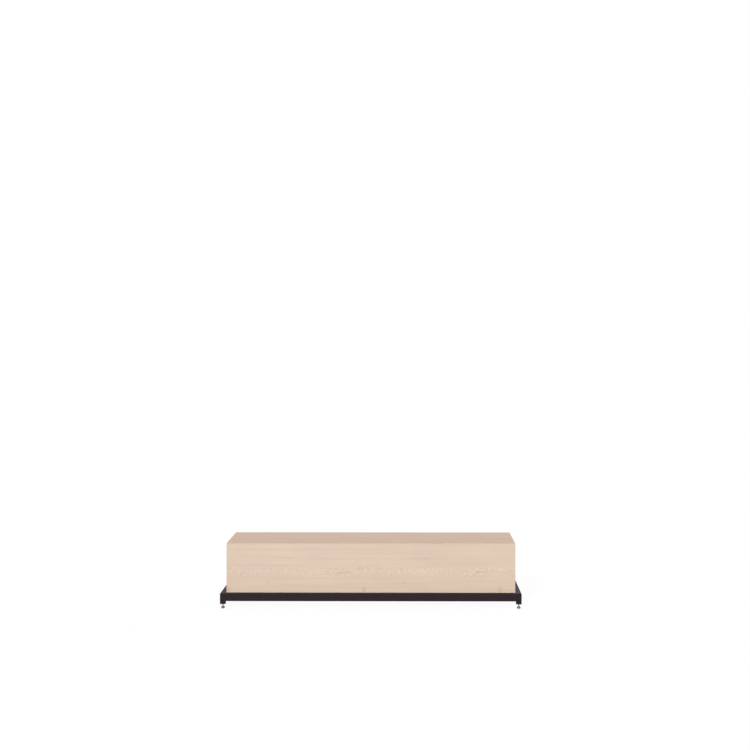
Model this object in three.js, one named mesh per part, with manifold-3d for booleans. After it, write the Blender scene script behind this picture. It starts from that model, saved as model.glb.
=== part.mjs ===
// A display plinth. A hollow box of oak-veneered board, mitred along every outer edge, drops into a ring
// of black steel tube. The ring stands on four short stubs, and a levelling foot screws into each.
// Millimetres, +Z up, +X along the front, origin on the floor under the middle.
import * as THREE from "three";
import { mergeVertices } from "three/addons/utils/BufferGeometryUtils.js";
import Module from "manifold-3d";

const wasm = await Module();
wasm.setup();

// Sizes of the box and of the board it is made of.
const boxLength = 2000;
const boxDepth = 600;
const boxShowing = 340;
const panelThickness = 22;
const mitreGap = 0.3;
const boxClearance = 1;

// Inside the box: plywood ribs, and softwood battens, blocks and cleats.
const ribThickness = 18;
const ribHoleRadius = 60;
const ribHoleSpacing = 240;
const ribNotchGap = 0.5;
const battenSide = 30;
const cornerBlockSide = 28;
const cleatWidth = 45;
const cleatHeight = 30;
const woodGap = 0.3;

// The ring of rectangular tube around the foot of the box.
const railWidth = 40;
const railHeight = 55;
const railWall = 3;
const railCornerRadius = 5;
const weldGap = 0.3;

// The tubes across the ring that carry the box.
const crossWidth = 40;
const crossHeight = 20;
const crossWall = 2;
const crossCornerRadius = 3.5;
const crossPairs = 2;
const crossEndGap = 2.5;

// The short square tube under each corner of the ring.
const stubSide = 38;
const stubWall = 2.5;
const stubCornerRadius = 4;
const stubShowing = 20;

// The ribbed plug in the stub, with the thread for the foot.
const insertFlange = 2.5;
const insertCoreSide = 26;
const insertFinHeight = 1.4;
const insertFins = 4;
const insertTopGap = 1;
const insertCornerRadius = 1.2;
const insertFit = 0.3;

// The levelling foot: a stud that turns in a pressed steel cup on a plastic glide.
const footHeight = 31;
const studRadius = 4;
const studLength = 46;
const studChamfer = 1;
const studHoleClearance = 2;
const collarFlats = 13;
const collarHeight = 3;
const neckRadius = 3.2;
const rivetRadius = 5.4;
const rivetHeight = 2;
const cupRadius = 12.5;
const cupTop = 13.5;
const cupWall = 1.6;
const cupShoulderRadius = 9.5;
const cupShoulderDrop = 2;
const glideShowing = 1.5;
const glideChamfer = 0.8;
const runningGap = 0.3;

// The screws that hold the box down to the cross tubes.
const screwRadius = 3;
const screwIntoWood = 22;
const screwPoint = 4;
const screwHoleClearance = 0.6;
const screwFlangeRadius = 7;
const screwFlangeHeight = 1.4;
const screwHeadFlats = 10;
const screwHeadHeight = 5;

// How finely round forms are divided, and how far a cutting tool runs past what it cuts.
const roundSides = 24;
const smallRoundSides = 12;
const hexSides = 6;
const cornerSegments = 2;
const toolOverrun = 2;
const mergeTolerance = 1e-4;

// Levels and places that follow from the sizes.
const frameBottom = footHeight + stubShowing;
const frameTop = frameBottom + railHeight;
const boxBottom = frameBottom + crossHeight;
const boxTop = frameTop + boxShowing;
const boxHeight = boxTop - boxBottom;
const innerLength = boxLength - 2 * panelThickness;
const innerDepth = boxDepth - 2 * panelThickness;
const innerHeight = boxHeight - panelThickness;
const openingDepth = boxDepth + 2 * boxClearance;
const frameLength = boxLength + 2 * boxClearance + 2 * railWidth;
const frameDepth = openingDepth + 2 * railWidth;
const cleatAxis = innerDepth / 2 - cleatWidth / 2;
const crossSpacing = (innerLength / 2 - crossEndGap - crossWidth / 2) / crossPairs;

// Materials.
const oakVeneer = new THREE.MeshStandardMaterial({ color: 0xdfc9b6, roughness: 0.55, metalness: 0 });
const plywood = new THREE.MeshStandardMaterial({ color: 0xcfae82, roughness: 0.7, metalness: 0 });
const softwood = new THREE.MeshStandardMaterial({ color: 0xd9b98a, roughness: 0.7, metalness: 0 });
const blackSteel = new THREE.MeshStandardMaterial({ color: 0x352f31, roughness: 0.5, metalness: 0.1 });
const zincSteel = new THREE.MeshStandardMaterial({ color: 0x9a9290, roughness: 0.4, metalness: 0.9 });
const darkSteel = new THREE.MeshStandardMaterial({ color: 0x735e59, roughness: 0.4, metalness: 0.9 });
const blackPlastic = new THREE.MeshStandardMaterial({ color: 0x28272a, roughness: 0.6, metalness: 0 });
const greyPlastic = new THREE.MeshStandardMaterial({ color: 0x6d6664, roughness: 0.6, metalness: 0 });

// A closed geometry as a solid that can be joined and cut.
function toSolid(geometry) {
  const faces = geometry.index ? geometry.toNonIndexed() : geometry;
  const bare = new THREE.BufferGeometry();
  bare.setAttribute("position", faces.getAttribute("position"));
  const merged = mergeVertices(bare, mergeTolerance);
  const vertProperties = merged.getAttribute("position").array;
  const triVerts = new Uint32Array(merged.index.array);
  return new wasm.Manifold(new wasm.Mesh({ numProp: 3, vertProperties, triVerts }));
}

// A solid back as a geometry.
function toGeometry(solid) {
  const mesh = solid.getMesh();
  const geometry = new THREE.BufferGeometry();
  geometry.setAttribute("position", new THREE.BufferAttribute(mesh.vertProperties, mesh.numProp));
  geometry.setIndex(new THREE.BufferAttribute(mesh.triVerts, 1));
  geometry.computeVertexNormals();
  return geometry;
}

// Adds a named piece to a group and gives it back for placing.
function addPiece(group, name, geometry, material) {
  const piece = new THREE.Mesh(geometry, material);
  piece.name = name;
  group.add(piece);
  return piece;
}

// A rectangle with round corners, from its lower left corner at the origin.
function roundedRectangle(outline, width, height, radius, inset = 0) {
  const quarter = Math.PI / 2;
  const low = inset + radius;
  outline.absarc(width - low, low, radius, -quarter, 0);
  outline.absarc(width - low, height - low, radius, 0, quarter);
  outline.absarc(low, height - low, radius, quarter, 2 * quarter);
  outline.absarc(low, low, radius, 2 * quarter, 3 * quarter);
  outline.closePath();
  return outline;
}

// The section of a rectangular tube: round corners outside, and the wall's thickness all round.
function tubeSection(width, height, wall, cornerRadius) {
  const section = roundedRectangle(new THREE.Shape(), width, height, cornerRadius);
  section.holes.push(roundedRectangle(new THREE.Path(), width, height, cornerRadius - wall, wall));
  return section;
}

function extrude(shape, depth) {
  return new THREE.ExtrudeGeometry(shape, { depth, bevelEnabled: false, curveSegments: cornerSegments });
}

// Turns an extrusion so that it runs along X, with the shape's x along Y and the shape's y up.
function alongX(geometry) {
  return geometry.rotateX(Math.PI / 2).rotateZ(Math.PI / 2);
}

// A square-cut rectangular bar, centred on its length along X, with its section from y 0 and z 0.
function bar(length, width, height) {
  return new THREE.BoxGeometry(length, width, height).translate(0, width / 2, height / 2);
}

// A round or six-sided pin that stands up from z 0.
function pin(radius, height, sides) {
  return new THREE.CylinderGeometry(radius, radius, height, sides)
    .rotateX(Math.PI / 2)
    .translate(0, 0, height / 2);
}

// A hexagon's corner radius from its width across flats.
function hexRadius(flats) {
  return flats / 2 / Math.cos(Math.PI / hexSides);
}

// A turned form: points are [radius, height], from the axis round to the axis or closing on themselves.
function turned(points, sides) {
  const profile = points.map(([radius, height]) => new THREE.Vector2(radius, height));
  return new THREE.LatheGeometry(profile, sides).rotateX(Math.PI / 2);
}

// How far a mitred edge is cut back along the piece, so that the joint keeps its gap.
function mitreCutBack(gap) {
  return gap / Math.SQRT2;
}

// A board whose outer face lies at z 0. Its edges at both ends and at the top are cut at 45 degrees, so
// the inner face is smaller by the thickness there. The bottom edge is square unless it is mitred too.
function mitredBoard(width, height, mitredBottom) {
  const thickness = panelThickness;
  const board = new THREE.BoxGeometry(width, height, thickness).translate(0, height / 2, -thickness / 2);
  const corners = board.getAttribute("position");
  for (let i = 0; i < corners.count; i += 1) {
    const cutBack = mitreCutBack(mitreGap) - corners.getZ(i);
    corners.setX(i, corners.getX(i) - Math.sign(corners.getX(i)) * cutBack);
    if (corners.getY(i) > 0) {
      corners.setY(i, height - cutBack);
    } else if (mitredBottom) {
      corners.setY(i, cutBack);
    }
  }
  return board;
}

// Box: five veneered panels, mitred where they meet.
function addPanels(group) {
  const top = mitredBoard(boxLength, boxDepth, true);
  addPiece(group, "top_panel", top, oakVeneer).position.set(0, -boxDepth / 2, boxHeight);
  const sides = [
    ["front_panel", boxLength, boxDepth, 0],
    ["right_end_panel", boxDepth, boxLength, Math.PI / 2],
    ["back_panel", boxLength, boxDepth, Math.PI],
    ["left_end_panel", boxDepth, boxLength, -Math.PI / 2],
  ];
  for (const [name, width, across, turn] of sides) {
    const side = new THREE.Group();
    side.rotation.z = turn;
    group.add(side);
    const board = mitredBoard(width, boxHeight, false).rotateX(Math.PI / 2);
    addPiece(side, name, board, oakVeneer).position.y = -across / 2;
  }
}

// A rib across the box, notched for the battens at the top and the cleats at the bottom, with two
// round holes to lift it by and to save weight.
function ribShape() {
  const side = innerDepth / 2 - woodGap;
  const top = innerHeight - woodGap;
  const battenIn = innerDepth / 2 - battenSide - ribNotchGap;
  const battenUnder = innerHeight - battenSide - ribNotchGap;
  const cleatIn = innerDepth / 2 - cleatWidth - ribNotchGap;
  const cleatOver = cleatHeight + ribNotchGap;
  const half = [
    [cleatIn, 0],
    [cleatIn, cleatOver],
    [side, cleatOver],
    [side, battenUnder],
    [battenIn, battenUnder],
    [battenIn, top],
  ];
  const otherHalf = half.map(([y, z]) => [-y, z]).reverse();
  const shape = new THREE.Shape([...half, ...otherHalf].map(([y, z]) => new THREE.Vector2(y, z)));
  for (const y of [-ribHoleSpacing / 2, ribHoleSpacing / 2]) {
    const hole = new THREE.Path();
    hole.absarc(y, innerHeight / 2, ribHoleRadius, 0, 2 * Math.PI, true);
    shape.holes.push(hole);
  }
  return shape;
}

function addRibs(group) {
  const places = [
    ["rib_left", -1],
    ["rib_centre", 0],
    ["rib_right", 1],
  ];
  for (const [name, step] of places) {
    const rib = new THREE.ExtrudeGeometry(ribShape(), {
      depth: ribThickness,
      bevelEnabled: false,
      curveSegments: smallRoundSides,
    });
    addPiece(group, name, alongX(rib), plywood).position.x = step * crossSpacing - ribThickness / 2;
  }
}

// Battens glued under the top panel, along all four sides.
function addBattens(group) {
  const along = bar(innerLength - 2 * woodGap, battenSide, battenSide);
  const across = bar(innerDepth - 2 * battenSide - 2 * woodGap, battenSide, battenSide);
  const sides = [
    ["top_batten_front", along, innerDepth, 0],
    ["top_batten_right", across, innerLength, Math.PI / 2],
    ["top_batten_back", along, innerDepth, Math.PI],
    ["top_batten_left", across, innerLength, -Math.PI / 2],
  ];
  for (const [name, geometry, room, turn] of sides) {
    const side = new THREE.Group();
    side.rotation.z = turn;
    group.add(side);
    const piece = addPiece(side, name, geometry, softwood);
    piece.position.set(0, woodGap - room / 2, innerHeight - woodGap - battenSide);
  }
}

// Upright blocks that back the four vertical mitres, between the cleats and the battens.
function addCornerBlocks(group, corners) {
  const height = innerHeight - battenSide - cleatHeight - 3 * woodGap;
  for (const [corner, x, y] of corners) {
    const block = new THREE.BoxGeometry(cornerBlockSide, cornerBlockSide, height);
    const inX = innerLength / 2 - woodGap - cornerBlockSide / 2;
    const inY = innerDepth / 2 - woodGap - cornerBlockSide / 2;
    const piece = addPiece(group, `corner_block_${corner}`, block, softwood);
    piece.position.set(x * inX, y * inY, cleatHeight + woodGap + height / 2);
  }
}

// Cleats round the bottom. The front and back ones take the screws that hold the box down.
function addCleats(group) {
  const pilot = toSolid(pin(screwRadius + woodGap, screwIntoWood + 2 * toolOverrun, smallRoundSides));
  let long = toSolid(bar(innerLength - 2 * woodGap, cleatWidth, cleatHeight));
  for (let step = -crossPairs; step <= crossPairs; step += 1) {
    long = long.subtract(pilot.translate(step * crossSpacing, cleatWidth / 2 - woodGap, -toolOverrun));
  }
  const along = toGeometry(long);
  const across = bar(innerDepth - 2 * cleatWidth - 2 * woodGap, cleatWidth, cleatHeight);
  const sides = [
    ["cleat_front", along, innerDepth, 0],
    ["cleat_right", across, innerLength, Math.PI / 2],
    ["cleat_back", along, innerDepth, Math.PI],
    ["cleat_left", across, innerLength, -Math.PI / 2],
  ];
  for (const [name, geometry, room, turn] of sides) {
    const side = new THREE.Group();
    side.rotation.z = turn;
    group.add(side);
    addPiece(side, name, geometry, softwood).position.y = woodGap - room / 2;
  }
}

// A rail of the ring along X, with its outer face at y 0 and both ends mitred. Half of a clearance hole
// for a levelling stud is cut through its lower wall at each end, on the mitre.
function railGeometry(length) {
  const rail = alongX(extrude(tubeSection(railWidth, railHeight, railWall, railCornerRadius), length));
  const points = rail.getAttribute("position");
  for (let i = 0; i < points.count; i += 1) {
    const fromMiddle = length / 2 - points.getY(i) - mitreCutBack(weldGap);
    points.setX(i, points.getX(i) > length / 2 ? fromMiddle : -fromMiddle);
  }
  const hole = toSolid(pin(studRadius + studHoleClearance, railWall + 2 * toolOverrun, roundSides));
  let solid = toSolid(rail);
  for (const end of [-1, 1]) {
    const place = hole.translate(end * (length / 2 - stubSide / 2), stubSide / 2, -toolOverrun);
    solid = solid.subtract(place);
  }
  return toGeometry(solid);
}

function addRails(group) {
  const sides = [
    ["rail_front", frameLength, frameDepth, 0],
    ["rail_right", frameDepth, frameLength, Math.PI / 2],
    ["rail_back", frameLength, frameDepth, Math.PI],
    ["rail_left", frameDepth, frameLength, -Math.PI / 2],
  ];
  for (const [name, length, across, turn] of sides) {
    const side = new THREE.Group();
    side.rotation.z = turn;
    group.add(side);
    addPiece(side, name, railGeometry(length), blackSteel).position.y = -across / 2;
  }
}

// The tubes welded across the ring, drilled near both ends for the screws that hold the box down.
function addCrossTubes(group) {
  const section = tubeSection(crossWidth, crossHeight, crossWall, crossCornerRadius);
  const length = openingDepth - 2 * weldGap;
  const tube = extrude(section, length)
    .rotateX(Math.PI / 2)
    .translate(-crossWidth / 2, length / 2, 0);
  const drill = toSolid(
    pin(screwRadius + screwHoleClearance, crossHeight + 2 * toolOverrun, smallRoundSides),
  );
  let solid = toSolid(tube);
  for (const side of [-1, 1]) {
    solid = solid.subtract(drill.translate(0, side * cleatAxis, -toolOverrun));
  }
  const geometry = toGeometry(solid);
  for (let step = -crossPairs; step <= crossPairs; step += 1) {
    const name = `cross_tube_${step + crossPairs + 1}`;
    addPiece(group, name, geometry, blackSteel).position.x = step * crossSpacing;
  }
}

// A flanged hexagon screw, driven up through a cross tube into a cleat.
function screwGeometry() {
  const shankLength = crossHeight + screwIntoWood;
  const shank = turned(
    [
      [0, -screwFlangeHeight / 2],
      [screwRadius, -screwFlangeHeight / 2],
      [screwRadius, shankLength - screwPoint],
      [0, shankLength],
    ],
    smallRoundSides,
  );
  const flange = pin(screwFlangeRadius, screwFlangeHeight, roundSides).translate(0, 0, -screwFlangeHeight);
  const head = pin(hexRadius(screwHeadFlats), screwHeadHeight, hexSides);
  head.translate(0, 0, -screwFlangeHeight / 2 - screwHeadHeight);
  return toGeometry(toSolid(shank).add(toSolid(flange)).add(toSolid(head)));
}

function addScrews(group) {
  const geometry = screwGeometry();
  for (let step = -crossPairs; step <= crossPairs; step += 1) {
    for (const [row, side] of [
      ["front", -1],
      ["back", 1],
    ]) {
      const name = `hold_down_screw_${row}_${step + crossPairs + 1}`;
      addPiece(group, name, geometry, zincSteel).position.set(step * crossSpacing, side * cleatAxis, 0);
    }
  }
}

// The stub of square tube, centred on the foot's axis, from the plug's flange up to the rail.
function stubGeometry() {
  const section = tubeSection(stubSide, stubSide, stubWall, stubCornerRadius);
  const height = stubShowing - insertFlange;
  return extrude(section, height).translate(-stubSide / 2, -stubSide / 2, insertFlange);
}

// A square block with round corners, centred on the foot's axis, from one height to another.
function squareBlock(side, radius, from, to) {
  const outline = roundedRectangle(new THREE.Shape(), side, side, radius);
  return toSolid(extrude(outline, to - from).translate(-side / 2, -side / 2, from));
}

// The plug: a flange that closes the stub, a core with the thread's bore, and thin fins that grip.
function insertGeometry() {
  const top = stubShowing - insertTopGap;
  const finSide = stubSide - 2 * stubWall - 2 * insertFit;
  const room = top - insertFlange - insertFinHeight;
  let plug = squareBlock(insertCoreSide, insertCornerRadius, 0, top);
  plug = plug.add(squareBlock(stubSide, stubCornerRadius, 0, insertFlange));
  for (let fin = 1; fin <= insertFins; fin += 1) {
    const from = insertFlange + (room * fin) / insertFins;
    plug = plug.add(squareBlock(finSide, insertCornerRadius, from, from + insertFinHeight));
  }
  const bore = toSolid(pin(studRadius + runningGap, top + 2 * toolOverrun, roundSides));
  return toGeometry(plug.subtract(bore.translate(0, 0, -toolOverrun)));
}

// The stud: a rivet head inside the cup, a neck through its hole, a hexagon to turn, and the thread.
function studGeometry() {
  const plateUnder = cupTop - cupWall;
  const rivetTop = plateUnder - runningGap;
  const collarBottom = cupTop + runningGap;
  const collarTop = collarBottom + collarHeight;
  const tip = collarTop + studLength;
  const round = turned(
    [
      [0, rivetTop - rivetHeight],
      [rivetRadius, rivetTop - rivetHeight],
      [rivetRadius, rivetTop],
      [neckRadius, rivetTop],
      [neckRadius, collarBottom + collarHeight / 2],
      [studRadius, collarBottom + collarHeight / 2],
      [studRadius, tip - studChamfer],
      [studRadius - studChamfer, tip],
      [0, tip],
    ],
    roundSides,
  );
  const collar = pin(hexRadius(collarFlats), collarHeight, hexSides).translate(0, 0, collarBottom);
  return toGeometry(toSolid(round).add(toSolid(collar)));
}

// The cup: a pressed steel dish, open below, with a hole for the stud's neck in its raised middle.
function cupGeometry() {
  const hole = neckRadius + runningGap;
  const skirtBottom = glideShowing;
  const shoulder = cupTop - cupShoulderDrop;
  const points = [
    [hole, cupTop],
    [hole, cupTop - cupWall],
    [cupShoulderRadius - cupWall, cupTop - cupWall],
    [cupRadius - cupWall, shoulder - cupWall],
    [cupRadius - cupWall, skirtBottom],
    [cupRadius, skirtBottom],
    [cupRadius, shoulder],
    [cupShoulderRadius, cupTop],
    [hole, cupTop],
  ];
  return turned(points, roundSides);
}

// The glide: a plastic disc pressed into the cup, with a well that clears the stud's rivet head.
function glideGeometry() {
  const plateUnder = cupTop - cupWall;
  const wellRadius = rivetRadius + runningGap;
  const wellFloor = plateUnder - runningGap - rivetHeight - runningGap;
  const radius = cupRadius - cupWall - runningGap;
  const shoulder = cupTop - cupShoulderDrop - cupWall - runningGap;
  const points = [
    [0, 0],
    [radius - glideChamfer, 0],
    [radius, glideChamfer],
    [radius, shoulder],
    [cupShoulderRadius - cupWall - runningGap, plateUnder],
    [wellRadius, plateUnder],
    [wellRadius, wellFloor],
    [0, wellFloor],
  ];
  return turned(points, roundSides);
}

// What stands under each corner of the ring, placed on the floor at the foot's axis.
function addCorners(group, corners) {
  const stub = stubGeometry();
  const insert = insertGeometry();
  const stud = studGeometry();
  const cup = cupGeometry();
  const glide = glideGeometry();
  for (const [corner, x, y] of corners) {
    const foot = new THREE.Group();
    foot.position.set((x * (frameLength - stubSide)) / 2, (y * (frameDepth - stubSide)) / 2, 0);
    group.add(foot);
    addPiece(foot, `leg_stub_${corner}`, stub, blackSteel).position.z = footHeight;
    addPiece(foot, `threaded_insert_${corner}`, insert, blackPlastic).position.z = footHeight;
    addPiece(foot, `foot_stud_${corner}`, stud, zincSteel);
    addPiece(foot, `foot_cup_${corner}`, cup, darkSteel);
    addPiece(foot, `foot_glide_${corner}`, glide, greyPlastic);
  }
}

const corners = [
  ["front_left", -1, -1],
  ["front_right", 1, -1],
  ["back_left", -1, 1],
  ["back_right", 1, 1],
];

const box = new THREE.Group();
box.position.z = boxBottom;
addPanels(box);
addRibs(box);
addBattens(box);
addCornerBlocks(box, corners);
addCleats(box);

const frame = new THREE.Group();
frame.position.z = frameBottom;
addRails(frame);
addCrossTubes(frame);
addScrews(frame);

const plinth = new THREE.Group();
plinth.add(box);
plinth.add(frame);
addCorners(plinth, corners);

export default plinth;
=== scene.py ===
import math
import random

import bmesh
import bpy
from mathutils import Matrix, Vector


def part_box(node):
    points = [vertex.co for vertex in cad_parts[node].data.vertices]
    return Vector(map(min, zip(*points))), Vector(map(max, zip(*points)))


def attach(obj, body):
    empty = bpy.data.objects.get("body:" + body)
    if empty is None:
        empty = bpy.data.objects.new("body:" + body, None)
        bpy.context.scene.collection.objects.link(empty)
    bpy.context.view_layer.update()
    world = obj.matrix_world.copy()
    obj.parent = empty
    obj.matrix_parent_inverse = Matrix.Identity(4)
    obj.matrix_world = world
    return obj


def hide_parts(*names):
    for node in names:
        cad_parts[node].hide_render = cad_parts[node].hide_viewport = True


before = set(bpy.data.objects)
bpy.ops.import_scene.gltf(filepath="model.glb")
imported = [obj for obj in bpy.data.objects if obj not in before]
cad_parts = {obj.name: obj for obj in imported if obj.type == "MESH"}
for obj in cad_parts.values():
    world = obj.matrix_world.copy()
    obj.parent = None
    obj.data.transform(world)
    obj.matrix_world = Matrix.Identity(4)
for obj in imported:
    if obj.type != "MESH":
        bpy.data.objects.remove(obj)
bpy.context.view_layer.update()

# Camera
# It looks level at the long front from 10.7 m before it, 1.88 m above the floor and a little right of the
# middle. It is turned half a degree to the left. Its picture is shifted down, so that upright edges stay
# upright, and a little to the side.
camera_place = (0.24, -10.971, 1.879)
turn_left = math.radians(0.464)
camera_turn = (math.pi / 2, 0, turn_left)
focal_length = 73.99
sensor_width = 36
shift_right = -0.024
shift_up = -0.0515

camera = bpy.data.objects.new("camera", bpy.data.cameras.new("camera"))
camera.location = camera_place
camera.rotation_euler = camera_turn
camera.data.lens = focal_length
camera.data.sensor_width = sensor_width
camera.data.shift_x = shift_right
camera.data.shift_y = shift_up
bpy.context.scene.collection.objects.link(camera)
bpy.context.scene.camera = camera
bpy.context.scene.view_settings.view_transform = "Standard"


# Floor and light
# A pale studio: a white floor that fades into white, an even light from all sides, a soft lamp from the
# front left that makes the front a little lighter than the deck, and a weaker one from the back right.
def add_node(tree, kind, inputs=(), **settings):
    """Adds a node. Its inputs are numbers and colours, or the outputs of other nodes to link."""
    made = tree.nodes.new(kind)
    for name, value in settings.items():
        setattr(made, name, value)
    for socket, value in dict(inputs).items():
        if isinstance(value, bpy.types.NodeSocket):
            tree.links.new(value, made.inputs[socket])
        else:
            made.inputs[socket].default_value = value
    return made


def maths(tree, operation, *values, clamp=False):
    """The result of one Math node."""
    return add_node(
        tree, "ShaderNodeMath", enumerate(values), operation=operation, use_clamp=clamp
    ).outputs[0]


def seen_directly(tree):
    """1 for what is seen straight on, reflected or through glass, and 0 for the light that falls."""
    path = add_node(tree, "ShaderNodeLightPath")
    reflected = maths(
        tree, "MAXIMUM", path.outputs["Is Glossy Ray"], path.outputs["Is Transmission Ray"]
    )
    return maths(tree, "MAXIMUM", path.outputs["Is Camera Ray"], reflected)


even_light = 0.30
lamps = {
    "front lamp": (2.80, 23.7, 20),
    "back lamp": (1.90, 15.2, 215),
}
lamp_spread_degrees = 15
white = (1, 1, 1, 1)
floor_side = 120
floor_light = 0.20
floor_glow = 0.95
floor_shadow_colour = (0.07, 0.07, 0.07, 1)

world = bpy.data.worlds.new("studio")
world.use_nodes = True
world.node_tree.nodes.clear()
direct = seen_directly(world.node_tree)
brightness = maths(world.node_tree, "MULTIPLY_ADD", direct, 1 - even_light, even_light)
background = add_node(
    world.node_tree, "ShaderNodeBackground", {"Color": white, "Strength": brightness}
)
add_node(world.node_tree, "ShaderNodeOutputWorld", {"Surface": background.outputs[0]})
bpy.context.scene.world = world

for name, (strength, height_degrees, side_degrees) in lamps.items():
    lamp = bpy.data.objects.new(name, bpy.data.lights.new(name, "SUN"))
    lamp.data.energy = strength
    lamp.data.angle = math.radians(lamp_spread_degrees)
    lamp.rotation_euler = (math.radians(90 - height_degrees), 0, -math.radians(side_degrees))
    bpy.context.scene.collection.objects.link(lamp)

floor_material = bpy.data.materials.new("white floor")
floor_material.use_nodes = True
floor_tree = floor_material.node_tree
floor_tree.nodes.clear()
falling = add_node(floor_tree, "ShaderNodeEmission", {"Color": white, "Strength": floor_light})
shaded = add_node(floor_tree, "ShaderNodeBsdfDiffuse", {"Color": floor_shadow_colour})
glow = add_node(floor_tree, "ShaderNodeEmission", {"Color": white, "Strength": floor_glow})
shown = add_node(
    floor_tree, "ShaderNodeAddShader", {0: shaded.outputs[0], 1: glow.outputs[0]}
)
upper = add_node(
    floor_tree,
    "ShaderNodeMixShader",
    {0: seen_directly(floor_tree), 1: falling.outputs[0], 2: shown.outputs[0]},
)
clear = add_node(floor_tree, "ShaderNodeBsdfTransparent")
from_below = add_node(floor_tree, "ShaderNodeNewGeometry").outputs["Backfacing"]
one_sided = add_node(
    floor_tree,
    "ShaderNodeMixShader",
    {0: from_below, 1: upper.outputs[0], 2: clear.outputs[0]},
)
add_node(floor_tree, "ShaderNodeOutputMaterial", {"Surface": one_sided.outputs[0]})

floor_shape = bmesh.new()
bmesh.ops.create_grid(floor_shape, x_segments=1, y_segments=1, size=floor_side / 2)
floor_mesh = bpy.data.meshes.new("floor")
floor_shape.to_mesh(floor_mesh)
floor_shape.free()
floor_mesh.materials.append(floor_material)
floor = bpy.data.objects.new("floor", floor_mesh)
bpy.context.scene.collection.objects.link(floor)


# Panels of the box
# Five boards of 22 mm, veneered in pale oak with the grain along the box and round its corners, mitred
# and glued along every outer edge, and finished in matt lacquer. The sharp edges are only just eased.
def linear(red, green, blue):
    """A colour given as it looks on screen, from 0 to 255, in the values that light is worked out in."""
    shares = (channel / 255 for channel in (red, green, blue))
    steps = (s / 12.92 if s <= 0.04045 else ((s + 0.055) / 1.055) ** 2.4 for s in shares)
    return (*steps, 1)


def new_group(name, inputs, outputs):
    """An empty node group with its named sockets, and its input node's outputs by name."""
    tree = bpy.data.node_groups.new(name, "ShaderNodeTree")
    for socket in inputs:
        tree.interface.new_socket(socket, in_out="INPUT", socket_type="NodeSocketFloat")
    for socket in outputs:
        kind = "NodeSocketColor" if socket == "Color" else "NodeSocketFloat"
        tree.interface.new_socket(socket, in_out="OUTPUT", socket_type=kind)
    return tree, add_node(tree, "NodeGroupInput").outputs


def stretched_noise(tree, place, per_metre, detail=2.0):
    """Soft noise from 0 to 1 whose cells are drawn out: per_metre counts them along each axis."""
    scaled = add_node(
        tree, "ShaderNodeVectorMath", {0: place, 1: per_metre}, operation="MULTIPLY"
    )
    return add_node(
        tree,
        "ShaderNodeTexNoise",
        {"Vector": scaled.outputs[0], "Scale": 1.0, "Detail": detail},
    ).outputs[0]


def swing(tree, value, reach):
    """Noise from 0 to 1 turned into a swing of that reach to both sides of 0."""
    centred = maths(tree, "SUBTRACT", value, 0.5)
    return maths(tree, "MULTIPLY", centred, 2 * reach)


def mix_colours(tree, share, first, second):
    """The first colour with a share of the second mixed in."""
    return add_node(
        tree, "ShaderNodeMix", {0: share, 6: first, 7: second}, data_type="RGBA"
    ).outputs[2]


def ramp(tree, value, low, high):
    """0 below low, 1 above high, and smooth between."""
    return add_node(
        tree,
        "ShaderNodeMapRange",
        {"Value": value, "From Min": low, "From Max": high},
        interpolation_type="SMOOTHSTEP",
    ).outputs[0]


oak_light = linear(232, 213, 195)
oak_dark = linear(196, 168, 144)
oak_yellow = linear(226, 206, 184)
oak_pink = linear(222, 197, 180)
oak_flame = linear(200, 162, 130)
oak_knot_light = linear(208, 172, 148)
oak_knot_dark = linear(176, 132, 104)
oak_smudge = linear(170, 140, 118)
oak_pore = linear(172, 142, 118)
oak_pale = linear(250, 238, 224)
# The tint that only the deck is given is painted shade: it makes the top pinker and deeper than the front.
oak_painted_shade = linear(222, 172, 156)

# The veneer comes in leaves of one length, with a band of figure at one height.
leaf_length = 0.942
leaf_start = -0.1975
figure_core = 0.022
figure_edge = 0.058
figure_below = -0.045
below_strength = 0.08

# The log's rings. Their cut's depth and their heart's height change along a leaf, and are given as pairs of
# a share of the leaf and a share of the reach.
ring_spacing = 0.0038
ripple_reach = 0.004
wobble_reach = 0.006
hair_reach = 0.0018
late_wood_start = 0.15
late_wood_end = 0.90
ring_level = 0.4
ring_strength = 0.64
quiet_ring_strength = 0.10
shallowest_cut = 0.072
cut_reach = 0.026
cut_depths = (
    (0.0, 0.84),
    (0.034, 0.95),
    (0.130, 0.45),
    (0.218, 0.88),
    (0.375, 0.12),
    (0.580, 0.92),
    (0.733, 0.05),
    (0.939, 0.88),
    (1.0, 0.84),
)
heart_reach = 0.052
heart_heights = (
    (0.0, 0.54),
    (0.034, 0.60),
    (0.130, 0.85),
    (0.218, 0.75),
    (0.280, 0.20),
    (0.360, 0.25),
    (0.460, 0.60),
    (0.608, 0.55),
    (0.733, 0.50),
    (0.939, 0.44),
    (1.0, 0.54),
)

# The tone of the wood: its even darkness, and how far bands, streaks and fibres change it.
even_darkness = 0.30
band_strength = 0.12
streak_strength = 0.42
fibre_strength = 0.26
blotch_share = 0.45

# The marks that come once in each leaf.
flame_along = 0.773
flame_middle = -0.019
flame_half_length = 0.066
flame_half_height = 0.0068
flame_bend = 5.3
flame_even_share = 0.19
flame_hatched_share = 0.36
knot_along = 0.895
knot_height = 0.126
knot_half_length = 0.016
knot_half_height = 0.022
knot_rings = 3
knot_unevenness = 0.22
knot_core = 0.6
knot_edge = 1.25
knot_strength = 0.28
mark_edge = 1.5
# Along the leaf, height, half length, half height, even share, hatched share and colour.
leaf_marks = {
    "smudge": (0.389, 0.345, 0.034, 0.005, 0.05, 0.13, oak_smudge),
    "dark streak": (0.327, 0.341, 0.080, 0.006, 0.04, 0.06, oak_smudge),
    "light streak": (0.306, 0.309, 0.075, 0.006, 0.04, 0.11, oak_pale),
    "pin knot": (0.2305, 0.175, 0.010, 0.008, 0.18, 0, oak_knot_dark),
}

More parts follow.
